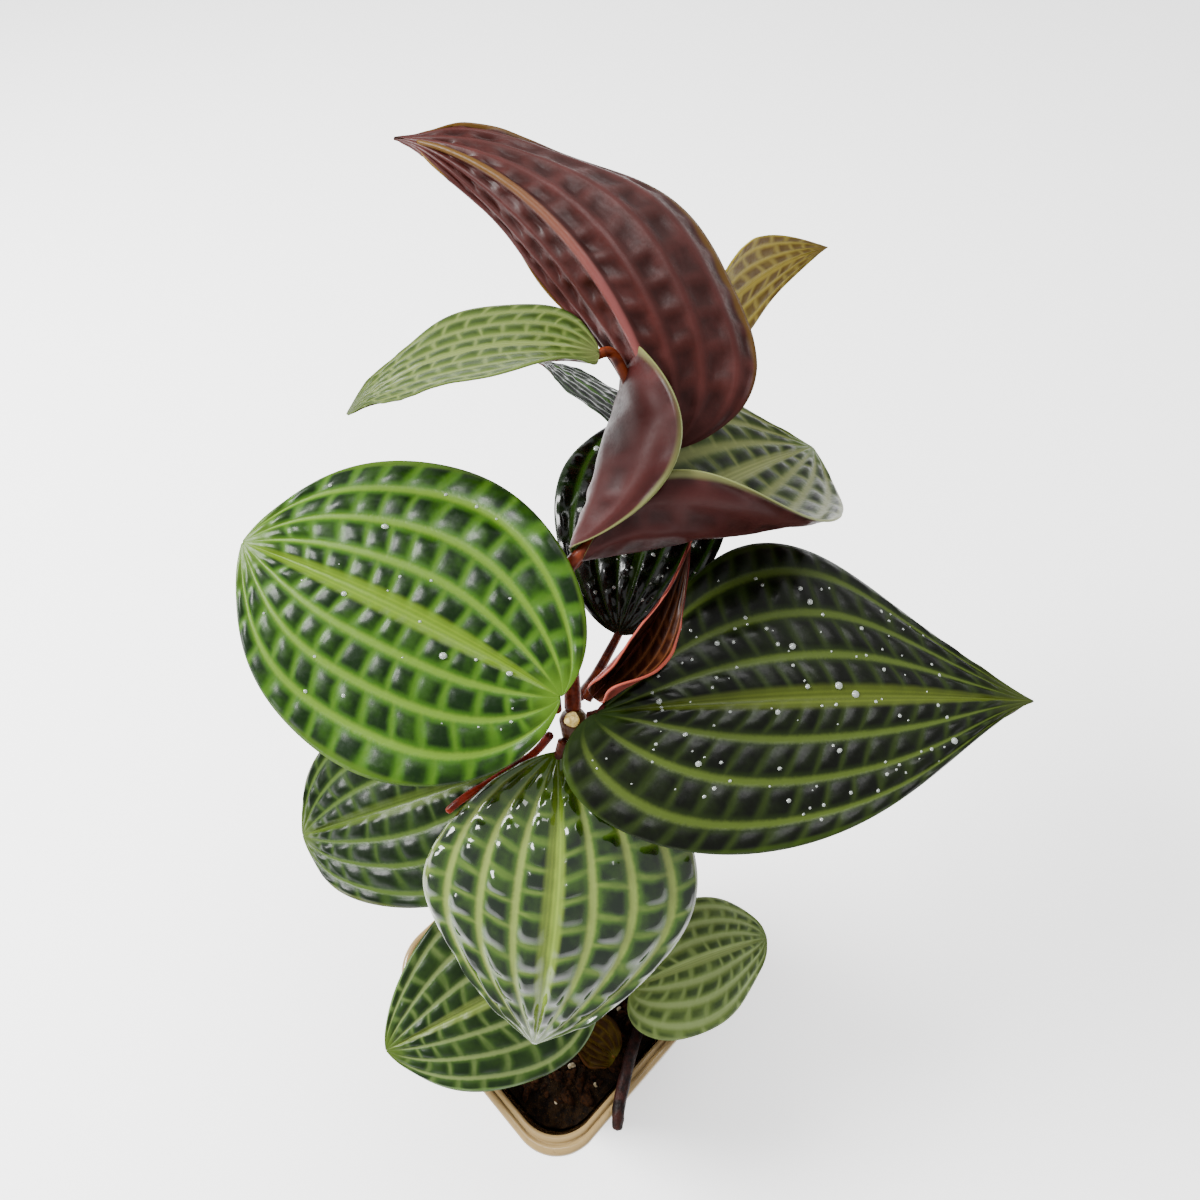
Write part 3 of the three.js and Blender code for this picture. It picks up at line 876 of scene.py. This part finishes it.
class SquarePot:
    """The square nursery pot with its rolled double lip, and the potting mix in it."""

    def __init__(self, size: PotSize) -> None:
        """Keeps the sizes.

        Args:
            size: Sizes of the pot.
        """
        self.size = size

    def outline(self, share: float, half: float) -> tuple[float, float]:
        """A point of the square outline with round corners, at a share of the way round.

        Args:
            share: Share of the way round, 0 to 1.
            half: Half the width of the square, mm.

        Returns:
            x and y, in mm.
        """
        corner = self.size.corner * half / self.size.top_half
        place = (share % 1.0) * 4
        quarter = int(place)
        turn = (quarter + place - quarter) * math.pi / 2
        middle = (quarter + 0.5) * math.pi / 2
        flat = (half - corner) * math.sqrt(2)
        x = flat * math.cos(middle) + corner * math.cos(turn)
        y = flat * math.sin(middle) + corner * math.sin(turn)
        return x, y

    def wall_half(self, z: float) -> float:
        """Half the outside width of the wall at height z.

        Args:
            z: Height above the underside, mm.

        Returns:
            The half width, mm.
        """
        return self.size.foot_half + (self.size.top_half - self.size.foot_half) * z / self.size.height

    def profile(self) -> list[tuple[float, float]]:
        """Half width and height, from the underside's middle round the lip to the inside floor's middle.

        Returns:
            Pairs of half width and height, in mm.
        """
        s = self.size
        low, top = s.height - s.rim_depth, s.height
        inner = self.wall_half(top) - s.wall
        roll = [
            (s.rim_half - 1.1 + 1.1 * math.cos(a), top - 1.1 + 1.1 * math.sin(a)) for a in np.linspace(0.0,
                math.pi * 0.72, 7)
        ]
        lip = [(inner + 0.7 + 0.7 * math.cos(a), top - 0.75 + 0.7 * math.sin(a)) for a in np.linspace(0.4,
            math.pi, 6)]
        return [
            (0.02, 0.5), (self.wall_half(0) - 3.2, 0.5), (self.wall_half(0) - 2.6, 0.0),
            (self.wall_half(0) - 0.9, 0.0),
            (self.wall_half(0) - 0.1, 0.5), (self.wall_half(2), 2.0), (self.wall_half(30), 30.0),
            (self.wall_half(low) - 0.1, low - 0.6), (self.wall_half(low) + 0.2, low), (s.rim_half - 0.9, low),
            (s.rim_half - 0.2, low + 0.3), (s.rim_half, low + 1.0), *roll,
            (s.rim_half - 2.0, top - 1.1), *lip,
            (inner - 0.2, top - 4.0), (self.wall_half(30) - s.wall, 30.0), (self.wall_half(4) - s.wall, 4.0),
            (self.wall_half(3) - s.wall - 1.5, s.floor), (0.02, s.floor),
        ]

    def build_pot(self) -> bpy.types.Object:
        """The plastic pot with four open drain holes.

        Returns:
            The pot.
        """
        profile = self.profile()
        body, shares = Mesher.grid(72, len(profile) - 1)
        places = []
        for u, v in shares:
            half, z = profile[round(v * (len(profile) - 1))]
            places.append((*self.outline(u, half), z))
        Mesher.move(body, np.array(places))
        bmesh.ops.remove_doubles(body, verts=body.verts, dist=0.03 * MM)
        pot = Mesher.finish("pot_body", body, [Painter.pot(self.size.height * MM)])
        for sx, sy in ((1, 1), (1, -1), (-1, 1), (-1, -1)):
            self.drill(pot, sx * self.size.drain_offset, sy * self.size.drain_offset)
        corners = pot.modifiers.new("corner_shading", "WEIGHTED_NORMAL")
        corners.keep_sharp = True
        Mesher.apply(pot)
        return pot

    def drill(self, pot: bpy.types.Object, x: float, y: float) -> None:
        """Cuts one drain hole through the floor.

        Args:
            pot: The pot to cut.
            x: Place of the hole, mm.
            y: Place of the hole, mm.
        """
        plug = bmesh.new()
        bmesh.ops.create_cone(
            plug, cap_ends=True, segments=32, radius1=self.size.drain_radius * MM,
            radius2=self.size.drain_radius * MM,
            depth=0.02, matrix=Matrix.Translation(Vector((x, y, 0.0)) * MM),
        )
        cutter = Mesher.finish("drill", plug, [])
        cut = pot.modifiers.new("drain_hole", "BOOLEAN")
        cut.operation = "DIFFERENCE"
        cut.object = cutter
        Mesher.apply(pot)
        bpy.data.objects.remove(cutter)

    def soil_height(self, x: float, y: float) -> float:
        """Height of the crumbly soil, mm.

        Args:
            x: Place on the soil, mm.
            y: Place on the soil, mm.

        Returns:
            The height, mm.
        """
        dome = max(0.0, 1 - (x * x + y * y) / 24.0**2)
        rough = noise.fractal(Vector((x, y, 3.0)) * 0.16, 0.8, 2.0, 5) * 1.1
        clods = noise.voronoi(Vector((x, y, 1.0)) * 0.33)[0][0]
        return self.size.soil_top - 0.6 + self.size.soil_rise * math.sqrt(dome) + rough + 1.5 * (0.5 - clods)

    def build_soil(self) -> list[bpy.types.Object]:
        """The potting mix: a closed body with a crumbly top, and chips lying on it.

        Returns:
            The soil and the bits lying on it.
        """
        s, rings = self.size, 150
        top_half = self.wall_half(s.soil_top) - s.wall - 0.3
        foot_half = self.wall_half(s.floor) - s.wall - 1.6
        body, shares = Mesher.grid(160, rings)
        places = []
        for u, v in shares:
            if v <= 0.8:
                x, y = self.outline(u, max(0.02, top_half * v / 0.8))
                places.append((x, y, self.soil_height(x, y)))
            elif v <= 0.92:
                down = (v - 0.8) / 0.12
                x, y = self.outline(u, top_half + (foot_half - top_half) * down)
                places.append((x, y, (self.soil_height(x, y) - 0.1) * (1 - down) + (s.floor + 0.3) * down))
            else:
                x, y = self.outline(u, max(0.02, foot_half * (1 - v) / 0.08))
                places.append((x, y, s.floor + 0.3))
        Mesher.move(body, np.array(places))
        bmesh.ops.remove_doubles(body, verts=body.verts, dist=0.01 * MM)
        soil = Mesher.finish("potting_mix", body, [Painter.mottled("potting_mix", SOIL)])
        return [soil, self.scatter("bark_chips", 420, (0.8, 2.4), BARK, 11),
            self.scatter("pale_grit", 46, (0.5, 1.1), GRIT, 23)]

    def scatter(self, name: str, count: int, sizes: tuple[float, float], look: PlainFinish,
        seed: int) -> bpy.types.Object:
        """Irregular bits lying half sunk in the soil.

        Args:
            name: The object's name.
            count: How many bits.
            sizes: Smallest and largest size, mm.
            look: Their finish.
            seed: Seed of the random draws.

        Returns:
            All the bits, as one object.
        """
        pick = random.Random(seed)
        body = bmesh.new()
        limit = self.wall_half(self.size.soil_top) - self.size.wall - 2.6
        for _ in range(count):
            x, y = pick.uniform(-limit, limit), pick.uniform(-limit, limit)
            if abs(x) + abs(y) > 1.62 * limit:
                continue
            size = pick.uniform(*sizes)
            turn = Matrix.Rotation(pick.uniform(0, 6.28), 4, "Z") @ Matrix.Rotation(pick.uniform(-0.6, 0.6),
                4, "X")
            shape = Matrix.Diagonal((size, size * pick.uniform(0.4, 0.8), size * pick.uniform(0.25, 0.5),
                1.0))
            spot = Matrix.Translation(Vector((x, y, self.soil_height(x, y) + size * 0.12)) * MM)
            made = bmesh.ops.create_icosphere(body, subdivisions=2, radius=1.0,
                matrix=spot @ turn @ shape @ Matrix.Scale(MM, 4))
            for vertex in made["verts"]:
                vertex.co += noise.noise_vector(vertex.co * 900.0) * size * 0.16 * MM
        return Mesher.finish(name, body, [Painter.mottled(name, look)])


class DropMaker:
    """Water drops standing on a leaf."""

    def __init__(self, form: LeafForm, count: int, seed: int) -> None:
        """Keeps the leaf and how many drops stand on it.

        Args:
            form: The leaf they stand on.
            count: How many drops.
            seed: Seed of the random draws.
        """
        self.form = form
        self.count = count
        self.seed = seed

    def build(self) -> bpy.types.Object:
        """Small flattened domes in the hollows of the upper side.

        Returns:
            All the drops, as one object.
        """
        pick = random.Random(self.seed)
        maker = LeafMaker(self.form, self.seed)
        body = bmesh.new()
        for _ in range(self.count):
            along, across = pick.uniform(0.14, 0.8), pick.uniform(-0.85, 0.85)
            shares = np.array([along, along + 0.01]), np.array([across, across])
            seat = maker.blade.place(shares[0], shares[1], 0.25 + maker.quilt(*shares))
            above = maker.blade.place(shares[0], shares[1], 1.25 + maker.quilt(*shares))
            normal = Vector(above[0] - seat[0]).normalized()
            size = pick.uniform(0.18, 0.55) if pick.random() < 0.85 else pick.uniform(0.6, 0.95)
            flat = Matrix.Diagonal((size, size * pick.uniform(0.7, 1.0), size * 0.5, 1.0))
            turn = normal.to_track_quat("Z", "Y").to_matrix().to_4x4()
            shift = Matrix.Translation(Vector(seat[0]) * MM)
            bmesh.ops.create_icosphere(body, subdivisions=2, radius=1.0,
                matrix=shift @ turn @ flat @ Matrix.Scale(MM, 4))
        return Mesher.finish(self.form.name + "_drops", body, [Painter.water()])


class Studio:
    """Pale floor, soft lights and the camera."""

    def build_floor(self) -> bpy.types.Object:
        """A wide white floor under the pot.

        Returns:
            The floor.
        """
        body = bmesh.new()
        bmesh.ops.create_grid(body, x_segments=1, y_segments=1, size=4.0)
        sheet = ShaderSheet("studio_floor")
        color = sheet.mix(sheet.grain(400.0), (0.93, 0.93, 0.93), (0.96, 0.96, 0.96))
        sheet.surface.inputs["Emission Color"].default_value = (1.0, 1.0, 1.0, 1.0)
        sheet.surface.inputs["Emission Strength"].default_value = 0.85
        return Mesher.finish("studio_floor", body, [sheet.finish(color, 0.9, Gloss.DRY)], closed=False)

    @staticmethod
    def lamp(
        name: str, place: Point, aim: Point, size: float, power: float, tint: Tone = (1.0, 1.0, 1.0)
    ) -> None:
        """One square area light aimed at a point.

        Args:
            name: The lamp's name.
            place: Where it stands.
            aim: The point it faces.
            size: Length of its side.
            power: Its power in watts.
            tint: Its colour.
        """
        data = bpy.data.lights.new(name, "AREA")
        data.size, data.energy, data.color = size, power, tint
        lamp = bpy.data.objects.new(name, data)
        lamp.location = place
        lamp.rotation_euler = (Vector(aim) - Vector(place)).to_track_quat("-Z", "Y").to_euler()
        bpy.context.scene.collection.objects.link(lamp)

    def build(self) -> None:
        """Puts up the floor, sky, lamps and camera."""
        floor = self.build_floor()
        world = bpy.data.worlds.new("studio_air")
        world.use_nodes = True
        world.node_tree.nodes["Background"].inputs["Color"].default_value = (1.0, 1.0, 1.0, 1.0)
        world.node_tree.nodes["Background"].inputs["Strength"].default_value = 1.0
        bpy.context.scene.world = world
        aim = (-0.02, 0.03, 0.13)
        self.lamp("key", (-0.55, -0.4, 0.7), aim, 0.4, 26.0)
        self.lamp("top", (-0.1, 0.35, 0.95), aim, 0.5, 8.0)
        lens = bpy.data.cameras.new("camera")
        lens.lens, lens.sensor_width = 26.1, 36.0
        lens.clip_start, lens.clip_end = 0.005, 20.0
        camera = bpy.data.objects.new("camera", lens)
        camera.location = (0.0465, -0.0312, 0.3206)
        camera.rotation_euler = (math.radians(35.0), 0.0, math.radians(45.0))
        bpy.context.scene.collection.objects.link(camera)
        bpy.context.scene.camera = camera


STALK = PlainFinish(tone(84, 38, 26), tone(122, 66, 40), Gloss.SATIN, 2.5, 0.06)
STEM = PlainFinish(tone(92, 58, 34), tone(112, 92, 50), Gloss.SATIN, 3.5, 0.10, tone(150, 120, 74))
SHOOT = PlainFinish(tone(92, 44, 30), tone(140, 78, 56), Gloss.SATIN, 3.0, 0.05)
OLD = PlainFinish(tone(34, 20, 18), tone(66, 40, 34), Gloss.DULL, 2.0, 0.2)
RED = PlainFinish(tone(96, 34, 22), tone(150, 62, 36), Gloss.SATIN, 4.0, 0.05)
SHEATH = PlainFinish(tone(196, 170, 96), tone(226, 208, 150), Gloss.DRY, 1.0, 0.15)
SOIL = PlainFinish(tone(38, 28, 16), tone(66, 50, 30), Gloss.DRY, 1.6, 0.5, tone(104, 84, 56))
BARK = PlainFinish(tone(44, 30, 18), tone(84, 58, 34), Gloss.DRY, 1.0, 0.2)
GRIT = PlainFinish(tone(170, 156, 128), tone(214, 204, 180), Gloss.DRY, 0.8, 0.1)

BRIGHT = LeafFinish(
    tone(28, 51, 18), tone(70, 102, 36), tone(116, 140, 64), tone(113, 135, 51), gloss=Gloss.SATIN,
    rung_strength=0.2, vein_width=0.1, edge=tone(86, 108, 42), tip_tint=tone(108, 129, 58),
)
OLIVE_DARK = LeafFinish(
    tone(23, 27, 15), tone(46, 57, 28), tone(97, 111, 57), tone(95, 105, 49), gloss=Gloss.SATIN,
    rung_strength=0.1, vein_width=0.095, base_tint=tone(61, 82, 31), edge=tone(72, 90, 34),
    tip_tint=tone(81, 90, 40),
)
WET_GREEN = LeafFinish(
    tone(19, 42, 14), tone(72, 98, 39), tone(142, 153, 90), tone(127, 144, 64), gloss=Gloss.WET,
    rung_strength=0.3, vein_width=0.105, base_tint=tone(82, 109, 33), tint_reach=0.3, edge=tone(117, 131, 69),
)
DULL_DARK = LeafFinish(
    tone(30, 45, 22), tone(49, 69, 32), tone(96, 114, 62), tone(89, 105, 48), gloss=Gloss.SATIN,
    rung_strength=0.3, vein_width=0.1,
)
MID_GREEN = LeafFinish(
    tone(38, 56, 30), tone(67, 88, 45), tone(130, 142, 97), tone(122, 135, 75), gloss=Gloss.SATIN,
    rung_strength=0.35, vein_width=0.1, edge=tone(112, 135, 85),
)
SAGE = LeafFinish(
    tone(71, 87, 51), tone(114, 131, 78), tone(153, 167, 119), tone(149, 163, 110), gloss=Gloss.DULL,
    rung_strength=0.35, vein_width=0.15, edge=tone(130, 144, 93), base_tint=tone(121, 138, 78),
)
# Painted shade: the rear and shaded leaves are dark green, and these near-black tones paint in the shade that
# the leaves in front cast on them.
WET_GREEN_IN_PAINTED_SHADE = LeafFinish(
    tone(8, 16, 6), tone(20, 34, 14), tone(58, 84, 34), tone(66, 92, 38), gloss=Gloss.WAXY,
    rung_strength=0.08,
    vein_width=0.1, base_tint=tone(30, 46, 20), edge=tone(40, 60, 26), tip_tint=tone(36, 56, 24),
)
PURPLE = LeafFinish(
    tone(50, 29, 22), tone(72, 46, 31), tone(105, 72, 50), tone(120, 72, 58), under=tone(110, 55, 50),
    gloss=Gloss.SATIN,
    rung_strength=0.15, base_tint=tone(100, 62, 43), edge=tone(150, 84, 72), tip_tint=tone(105, 60, 50),
)
WINE_TOP = LeafFinish(
    tone(26, 36, 14), tone(46, 59, 24), tone(84, 95, 49), tone(84, 92, 43), under=tone(73, 40, 36),
    under_vein=tone(128, 83, 81), edge=tone(106, 83, 32), gloss=Gloss.SATIN,
)
PALE = LeafFinish(
    tone(60, 75, 35), tone(82, 97, 51), tone(117, 127, 81), tone(120, 130, 83), under=tone(83, 59, 54),
    under_vein=tone(116, 91, 79), gloss=Gloss.SATIN, rung_strength=0.75, vein_width=0.16,
    edge=tone(102, 115, 67),
    base_tint=tone(102, 109, 72), tip_tint=tone(68, 78, 37),
)
FUNNEL_LOOK = LeafFinish(
    tone(33, 40, 20), tone(69, 81, 42), tone(125, 129, 88), tone(128, 132, 92), under=tone(78, 46, 45),
    under_vein=tone(109, 73, 69), edge=tone(125, 129, 89), gloss=Gloss.SATIN, rung_strength=0.5,
    vein_width=0.16,
)
GOLDEN = LeafFinish(
    tone(104, 84, 42), tone(136, 122, 66), tone(166, 152, 84), tone(160, 146, 80), under=tone(122, 98, 60),
    under_vein=tone(158, 134, 78), edge=tone(150, 138, 64), gloss=Gloss.DULL, rung_strength=0.3,
    tip_tint=tone(96, 72, 36),
)
WITHERED = LeafFinish(
    tone(78, 56, 24), tone(96, 78, 30), tone(112, 94, 40), tone(110, 92, 38), under=tone(112, 78, 36),
    under_vein=tone(140, 108, 58), edge=tone(104, 72, 32), gloss=Gloss.DULL, rung_strength=0.2,
    base_tint=tone(118, 112, 42),
)

FULL_BELLY = (0.8, 1.65, 0.77)

# These rows and the routes below repeat the part's. Most of the leaf numbers, and some of the points,
# came out of a fitting program and weren't chosen by hand.
LEAVES = [
    LeafForm(
        "left_leaf", (-19.3, 23.5, 164.4), 78, 33.5, 197, 5, 14, -15, -29, 8, (6, -26), 0.11, FULL_BELLY,
        (0.58, 0.94),
        -0.08, 0, BRIGHT, "bright_leaf", rungs=15, stalk=[(-21.6, 23.8, 155.4)], veins=3.85, pucker=0.85,
    ),
    LeafForm(
        "right_leaf", (-15, 28, 157), 107, 36, 54, -4, -3, -14, 23, -20, (2, -26), 0.11, (0.26, 2.2, 0.39),
        (0.45, 0.67),
        0.95, 0.18, OLIVE_DARK, "dark_leaf", rungs=19, stalk=[(-16.2, 27.8, 153.8)], veins=3.7, pucker=0.8,
    ),
    LeafForm(
        "front_leaf", (-18, 20, 146), 70, 30, 319, -23, -12, -55, 4, -12, (-23, -26), 0, (0.8, 1.65, 0.81),
        (0.49, 0.67),
        -0.25, -0.03, WET_GREEN, "wet_leaf", rungs=12, stalk=[(-18, 22.2, 148.8)], veins=3.7, pucker=1.15,
    ),
    LeafForm(
        "lower_left_leaf", (-28, 15, 131), 62, 26, 240, -15, -13, -23, -21, -6, (-8, -2), 0.16,
        (1.24, 1.21, 0.89),
        (0.5, 0.95), 0.03, -0.02, DULL_DARK, "mid_leaf", rungs=12,
        stalk=[(-11.8, 18.4, 121.6), (-19, 18, 128)],
    ),
    LeafForm(
        "bottom_left_leaf", (6, 5, 92), 55, 24, 254, -9, 2, -21, -23, -5, (-11, -5), 0.07, (1.5, 1.23, 0.62),
        (0.51, 0.93),
        0.25, 0.05, MID_GREEN, "mid_leaf", rungs=11, stalk=[(3.6, 7.4, 90)], pucker=0.65,
    ),
    LeafForm(
        "bottom_right_leaf", (19, 8, 78), 46, 17, 69, -3, -7, -28, 23, -1, (1, -26), 0.3, (0.8, 1.65, 0.67),
        (0.52, 0.96),
        0.07, -0.07, SAGE, "grey_leaf", rungs=11, stalk=[(11.6, 6.6, 70.6), (15, 7, 75.4)], pucker=0.45,
    ),
    LeafForm(
        "rear_leaf", (-28.6, 49.9, 148.8), 71, 21, 117, 8, 25, -31, -10, 12, (7, 8), 0, (0.8, 1.65, 0.9),
        (0.62, 0.72),
        0.01, 0.16, WET_GREEN_IN_PAINTED_SHADE, "dark_leaf", rungs=13, stalk=[(-22, 30.4, 151.4), (-25, 39, 147.6)],
    ),
    LeafForm(
        "young_leaf", (-17.6, 30.6, 157.6), 40, 15.4, 85, 25, 21, 20, 22, 25, (67, -20), -0.06,
        (1.8, 0.85, 0.2),
        (0.22, 0.67), 0.25, 0, PURPLE, "maroon_leaf", keel=57, rungs=9, stalk=[(-18.6, 29.6, 156.4)],
        pucker=0.3, ripple=0.2,
    ),
    LeafForm(
        "top_leaf", (-34, 70, 191), 94, 26, 163, 34, 58, -68, 131, 17, (37, 50), 0.01, (0.95, 1.42, 0.2),
        (0.62, 0.78),
        -0.6, 0.37, WINE_TOP, "maroon_leaf", keel=25, rungs=15,
        stalk=[(-34.4, 57.6, 182.4), (-35.4, 64, 186)], pucker=0.95,
        ripple=1.5,
    ),
    LeafForm(
        "small_left_leaf", (-50.7, 65.7, 208.8), 55, 17.4, 221, 20, 14, -53, 20, -12, (30, -7), 0,
        (1.8, 0.85, 0.66),
        (0.59, 0.72), -0.25, -0.2, PALE, "pale_leaf", rungs=13, pucker=0.35,
        stalk=[(-37.4, 57, 181.4), (-41.8, 67.6, 194.2), (-50.5, 70.1, 205.5)],
    ),
    LeafForm(
        "narrow_rear_leaf", (-53, 101, 192), 45, 10, 104, -34, 12, -15, 79, -5, (40, -18), 0.06,
        (1.73, 1.47, 0.45),
        (0.42, 0.75), -0.15, 0.06, GOLDEN, "olive_leaf", rungs=11, pucker=0.3, ripple=0.2, veins=2.7,
        stalk=[(-33, 57.6, 180.2), (-37, 73, 184), (-45, 89, 188.5)],
    ),
    LeafForm(
        "shaded_leaf", (-53.3, 82.2, 175.8), 41, 13, 183, -15, 11, -35, 25, 2, (-4, -2), 0.15,
        (0.89, 0.88, 0.35),
        (0.38, 0.81), 0.1, -0.16, WET_GREEN_IN_PAINTED_SHADE, "dark_leaf", rungs=9, pucker=0.4,
        stalk=[(-38.2, 44.6, 170.4), (-44, 60, 167), (-51, 76, 172)],
    ),
    LeafForm(
        "funnel_leaf", (-36.5, 42.5, 175.5), 89, 35.5, 82, 0, 20, 0, 0, 0, (0, 0), 0.39, (1.68, 1.4, 0.54),
        (0.45, 0.85),
        -0.15, 0, FUNNEL_LOOK, "maroon_leaf", rungs=14, spin=9, half_angle=32, bend=31, cone_part=42,
        spiral=0.35,
        apex_setback=3.2, pucker=0.7, ripple=0.4,
    ),
    LeafForm(
        "dead_leaf", (26, -5, 59.6), 24, 8, 190, 20, 6, -14, 8, 20, (30, 60), 0.05, (1.3, 1.3, 0.5),
        (0.45, 0.8),
        0, 0, WITHERED, "dry_tissue", keel=14, rungs=6, pucker=0.4, ripple=0.9,
    ),
]

MAIN_ROUTE = [(10, 1, 44), (9, 5, 66), (2, 11, 92), (-9, 19, 124), (-20, 27, 153)]
SHOOT_ROUTE = [(-20, 27, 151), (-26, 32.6, 157.5), (-32, 38, 164.5), (-36.2, 41.8, 173.5), (-36, 46.4, 177),
    (-34.8, 55, 180.2)]
OLD_ROUTE = [(20, 13, 58.8), (23.6, 9.3, 61.5), (28.3, -1.1, 67.8), (34.1, -11.6, 68.4), (38.2, -16.9, 66.6)]
RED_ROUTE = [(-21.5, 22, 147.5), (-22.5, 16.5, 143), (-25, 7, 140.5), (-27, 0, 139), (-28, -4.5, 137)]
SHEATH_ROUTE = [(-17, 24.4, 156.2), (-16.6, 23.4, 158.6), (-16.2, 21.6, 160.6)]


def enter(piece: bpy.types.Object, node: str | None, slot: str) -> None:
    """Lets a finished piece ride on the frame and stand for a node of it.

    Args:
        piece: The finished piece.
        node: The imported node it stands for, or None.
        slot: The record's material slot.
    """
    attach(piece, "root")
    if node:
        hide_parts(node)
    log.info("%s: %d faces, slot %s", piece.name, len(piece.data.polygons), slot)


def build_stems() -> None:
    """The main stem with its swollen nodes, the shoot, the two bare stalks and the dry sheath."""
    knots = [2.5, 2.5, 2.45, 2.4, 3.2, 2.5, 2.3, 2.3, 3.2, 2.4, 2.2, 2.6, 3.3]
    stem = Rod(MAIN_ROUTE, knots, 0.1, 3).build("stem", Painter.mottled("stem_skin", STEM), 28, 130)
    enter(stem, "main_stem", "stem_skin")
    shoot = Rod(SHOOT_ROUTE, [2.0, 1.6, 1.5, 1.5, 1.4, 1.2], 0.05, 4)
    enter(shoot.build("shoot", Painter.mottled("shoot_skin", SHOOT)), "main_stem", "stem_skin")
    old = Rod(OLD_ROUTE, [1.7, 1.5, 1.5, 1.7, 1.3], 0.2, 5).build("bare_stalk",
        Painter.mottled("old_stem", OLD))
    enter(old, "old_stalk", "old_stem")
    red = Rod(RED_ROUTE, [1.0, 0.9, 0.9, 0.8], 0.08, 6).build("slender_stalk",
        Painter.mottled("red_stem", RED))
    enter(red, "red_stalk", "red_stem")
    sheath = Rod(SHEATH_ROUTE, [1.3, 1.4, 1.0, 0.5], 0.35, 7).build("sheath",
        Painter.mottled("dry_tissue", SHEATH), 20, 30)
    enter(sheath, "dry_sheath", "dry_tissue")


def main() -> None:
    """Builds the plant piece by piece, then the studio."""
    logging.basicConfig(level=logging.INFO, format="%(name)s: %(message)s")
    maker = SquarePot(PotSize())
    enter(maker.build_pot(), "pot", "pot_plastic")
    for piece in maker.build_soil():
        enter(piece, "soil", "potting_mix")
    build_stems()
    for seed, form in enumerate(LEAVES, start=1):
        for piece in LeafMaker(form, seed).build():
            enter(piece, form.name, form.slot)
    forms = {form.name: form for form in LEAVES}
    for name, count, seed in (("right_leaf", 120, 2), ("rear_leaf", 40, 7), ("left_leaf", 26, 1)):
        enter(DropMaker(forms[name], count, seed).build(), name, forms[name].slot)
    Studio().build()


if __name__ == "__main__":
    main()
